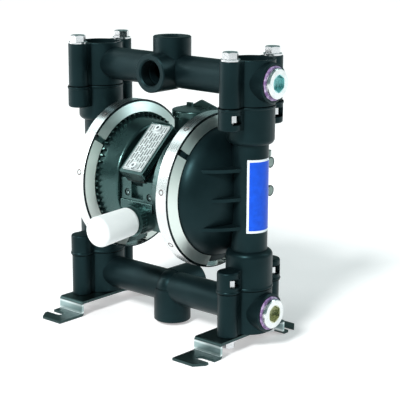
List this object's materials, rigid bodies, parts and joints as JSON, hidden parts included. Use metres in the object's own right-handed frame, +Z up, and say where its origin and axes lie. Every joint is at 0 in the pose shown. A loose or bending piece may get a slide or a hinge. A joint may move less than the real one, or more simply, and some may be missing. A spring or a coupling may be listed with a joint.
{
  "type": "air operated diaphragm pump",
  "caption": "Air operated double diaphragm pump with ball check valves, two manifolds, V clamps, front exhaust muffler and slotted feet.",
  "frame": {"origin": "on the floor, in the middle of the foot slots, under the middle of the pump", "axes": "+X along the diaphragm shaft to the right, +Y to the rear, +Z up"},
  "size_m": [0.2514, 0.1851, 0.2772],
  "materials": {
    "black_moulding": "moulded glass filled plastic, slightly rough",
    "black_housing": "moulded plastic",
    "bright_steel": "plain stainless strip",
    "zinc_steel": "bright zinc plated",
    "dark_zinc": "dark, smooth coating",
    "port_metal": "machined face",
    "plate_metal": "bare sheet",
    "inner_metal": "machined",
    "rubber_black": "moulded",
    "diaphragm_white": "smooth moulded sheet",
    "seat_plastic": "machined plastic",
    "bearing_plastic": "filled bearing plastic",
    "muffler_white": "porous moulded plastic"
  },
  "bodies": {
    "pump": {"outlet_manifold": "black_moulding", "inlet_manifold": "black_moulding", "fluid_cover_left": "black_moulding", "fluid_cover_right": "black_moulding", "air_cover_left": "black_housing", "air_cover_right": "black_housing", "center_housing": "black_housing", "air_valve_cover": "black_housing", "air_cover_gaskets": "rubber_black", "valve_cover_gasket": "rubber_black", "air_cover_screws": "zinc_steel", "valve_cover_screws": "zinc_steel", "valve_plate": "inner_metal", "nameplate": "plate_metal", "shaft_bearings": "bearing_plastic", "shaft_seals": "rubber_black", "diaphragm_left": "diaphragm_white", "diaphragm_right": "diaphragm_white", "inlet_seats": "seat_plastic", "outlet_seats": "seat_plastic", "seat_o_rings": "rubber_black", "clamp_strap_left": "bright_steel", "clamp_strap_right": "bright_steel", "clamp_retainers_left": "bright_steel", "clamp_retainers_right": "bright_steel", "clamp_t_bolts": "zinc_steel", "clamp_trunnions": "zinc_steel", "clamp_nuts": "zinc_steel", "manifold_bolts_upper": "zinc_steel", "manifold_bolts_lower": "zinc_steel", "manifold_nuts": "zinc_steel", "foot_left": "dark_zinc", "foot_right": "dark_zinc", "port_plugs": "port_metal", "exhaust_fitting": "black_housing", "muffler": "muffler_white"},
    "shaft": {"diaphragm_shaft": "inner_metal", "air_side_plates": "inner_metal", "fluid_side_plates": "seat_plastic", "shaft_bolts": "inner_metal"},
    "air_valve": {"valve_carriage": "seat_plastic", "valve_cup": "bearing_plastic"},
    "pilot_left": {"pilot_pin_left": "inner_metal"},
    "pilot_right": {"pilot_pin_right": "inner_metal"},
    "inlet_check_left": {"inlet_ball_left": "diaphragm_white"},
    "inlet_check_right": {"inlet_ball_right": "diaphragm_white"},
    "outlet_check_left": {"outlet_ball_left": "diaphragm_white"},
    "outlet_check_right": {"outlet_ball_right": "diaphragm_white"}
  },
  "joints": [
    {"name": "shaft_slide", "type": "slide", "parent": "pump", "child": "shaft", "axis": [1, 0, 0], "range_m": [-0.008, 0.008], "deforming": ["diaphragm_left", "diaphragm_right"]},
    {"name": "air_valve_slide", "type": "slide", "parent": "pump", "child": "air_valve", "axis": [0, 0.7431, 0.6691], "range_m": [-0.003, 0.003]},
    {"name": "pilot_left_slide", "type": "slide", "parent": "pump", "child": "pilot_left", "axis": [1, 0, 0], "range_m": [-0.0032, 0]},
    {"name": "pilot_right_slide", "type": "slide", "parent": "pump", "child": "pilot_right", "axis": [1, 0, 0], "range_m": [0, 0.0032]},
    {"name": "inlet_ball_left_lift", "type": "slide", "parent": "pump", "child": "inlet_check_left", "axis": [0, 0, 1], "range_m": [0, 0.007]},
    {"name": "inlet_ball_right_lift", "type": "slide", "parent": "pump", "child": "inlet_check_right", "axis": [0, 0, 1], "range_m": [0, 0.007]},
    {"name": "outlet_ball_left_lift", "type": "slide", "parent": "pump", "child": "outlet_check_left", "axis": [0, 0, 1], "range_m": [0, 0.007]},
    {"name": "outlet_ball_right_lift", "type": "slide", "parent": "pump", "child": "outlet_check_right", "axis": [0, 0, 1], "range_m": [0, 0.007]}
  ]
}
